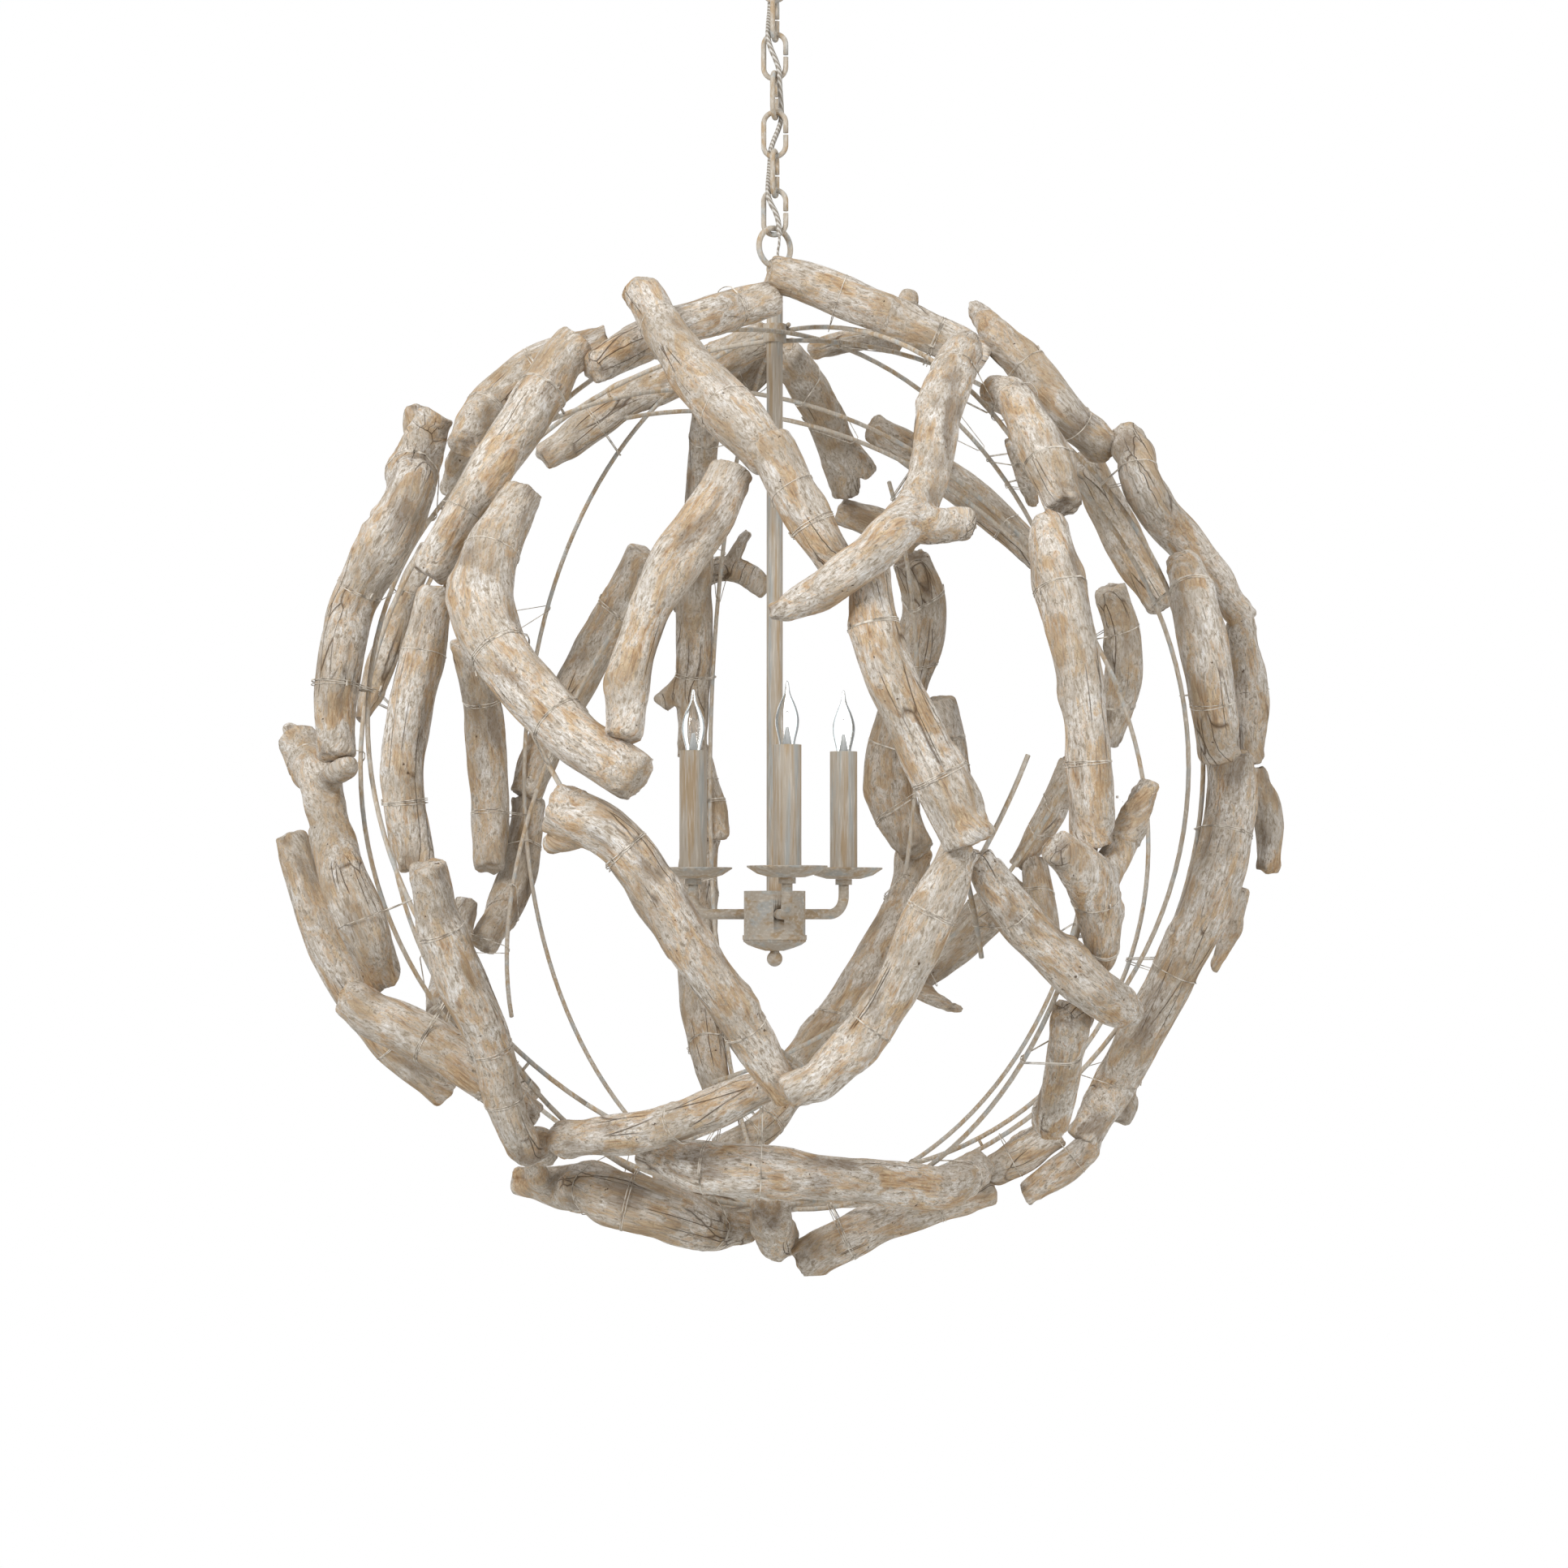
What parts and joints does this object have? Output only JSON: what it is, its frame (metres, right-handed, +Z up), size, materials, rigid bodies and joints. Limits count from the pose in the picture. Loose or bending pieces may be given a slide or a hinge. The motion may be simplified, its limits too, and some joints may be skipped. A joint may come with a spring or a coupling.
{
  "type": "driftwood orb chandelier",
  "caption": "Hanging orb of round steel hoops wired over with driftwood branches, on a link chain, with a candle-style lamp cluster inside.",
  "frame": {"origin": "centre of the ceiling face, where the canopy's mounting strap meets the ceiling", "axes": "+Z up along the stem towards the ceiling, -Y towards the camera, +X to the camera's right"},
  "size_m": [0.8554, 0.8404, 1.2313],
  "materials": {
    "washed_steel": "satin",
    "raw_steel": "satin",
    "washed_wood": "matte",
    "sleeve_wood": "matte",
    "bulb_glass": "gloss",
    "bulb_brass": "satin",
    "socket_plastic": "matte",
    "cord_plastic": "matte"
  },
  "bodies": {
    "ceiling_mount": {"mounting_strap": "raw_steel", "threaded_nipple": "raw_steel", "nipple_locknut": "raw_steel", "ceiling_canopy": "washed_steel", "canopy_collar_nut": "washed_steel", "canopy_loop": "washed_steel", "cord_bushing": "socket_plastic", "supply_cord_canopy": "cord_plastic"},
    "top_link": {"top_link": "washed_steel", "supply_cord_top": "cord_plastic"},
    "chain": {"chain_links": "washed_steel", "supply_cord_chain": "cord_plastic"},
    "ring": {"hanging_ring": "washed_steel", "supply_cord_eye": "cord_plastic"},
    "bulb_1": {"bulb_base_1": "bulb_brass", "bulb_glass_1": "bulb_glass"},
    "bulb_2": {"bulb_base_2": "bulb_brass", "bulb_glass_2": "bulb_glass"},
    "bulb_3": {"bulb_base_3": "bulb_brass", "bulb_glass_3": "bulb_glass"},
    "fixture": {"stem_eye": "washed_steel", "centre_stem": "washed_steel", "frame_top_collar": "washed_steel", "lamp_hub": "washed_steel", "hub_cap": "washed_steel", "finial": "washed_steel", "lamp_arms": "washed_steel", "arm_ring_nuts": "washed_steel", "drip_pans": "washed_steel", "frame_hoops": "washed_steel", "candle_sleeves": "sleeve_wood", "lamp_sockets": "socket_plastic", "binding_wires_rear": "raw_steel", "binding_wires_left": "raw_steel", "binding_wires_right": "raw_steel", "driftwood_top_left": "washed_wood", "driftwood_top_right": "washed_wood", "driftwood_left_lower": "washed_wood", "driftwood_left_upper": "washed_wood", "driftwood_right_lower": "washed_wood", "driftwood_right_outer": "washed_wood", "driftwood_bottom_left": "washed_wood", "driftwood_bottom_long": "washed_wood", "driftwood_right_foot": "washed_wood", "driftwood_rear_centre": "washed_wood", "driftwood_left_rear": "washed_wood", "driftwood_top_left_rear": "washed_wood", "driftwood_top_right_rear": "washed_wood", "driftwood_rear_right_centre": "washed_wood", "driftwood_right_rear": "washed_wood", "driftwood_left_inner": "washed_wood", "driftwood_left_diagonal": "washed_wood", "driftwood_left_sweep": "washed_wood", "driftwood_front_right_sweep": "washed_wood", "driftwood_front_long": "washed_wood", "driftwood_top_front": "washed_wood", "driftwood_right_inner": "washed_wood", "driftwood_front_s": "washed_wood", "driftwood_right_antler": "washed_wood", "driftwood_right_low_diagonal": "washed_wood"}
  },
  "joints": [
    {"name": "top_link_swing", "type": "hinge", "parent": "ceiling_mount", "child": "top_link", "pos_m": [0, 0, -0.063], "axis": [1, 0, 0], "range_deg": [-20, 20]},
    {"name": "chain_swing", "type": "hinge", "parent": "top_link", "child": "chain", "pos_m": [0, 0, -0.09695], "axis": [0.1908, 0.9816, 0], "range_deg": [-20, 20]},
    {"name": "ring_swing", "type": "hinge", "parent": "chain", "child": "ring", "pos_m": [0, 0, -0.33635], "axis": [0.9816, -0.1908, 0], "range_deg": [-15, 15]},
    {"name": "fixture_swing", "type": "hinge", "parent": "ring", "child": "fixture", "pos_m": [0, 0, -0.3642], "axis": [0.809, 0.5878, 0], "range_deg": [-15, 15]},
    {"name": "bulb_unscrew_1", "type": "slide", "parent": "fixture", "child": "bulb_1", "axis": [0, 0, 1], "range_m": [0, 0.025]},
    {"name": "bulb_unscrew_2", "type": "slide", "parent": "fixture", "child": "bulb_2", "axis": [0, 0, 1], "range_m": [0, 0.025]},
    {"name": "bulb_unscrew_3", "type": "slide", "parent": "fixture", "child": "bulb_3", "axis": [0, 0, 1], "range_m": [0, 0.025]}
  ]
}
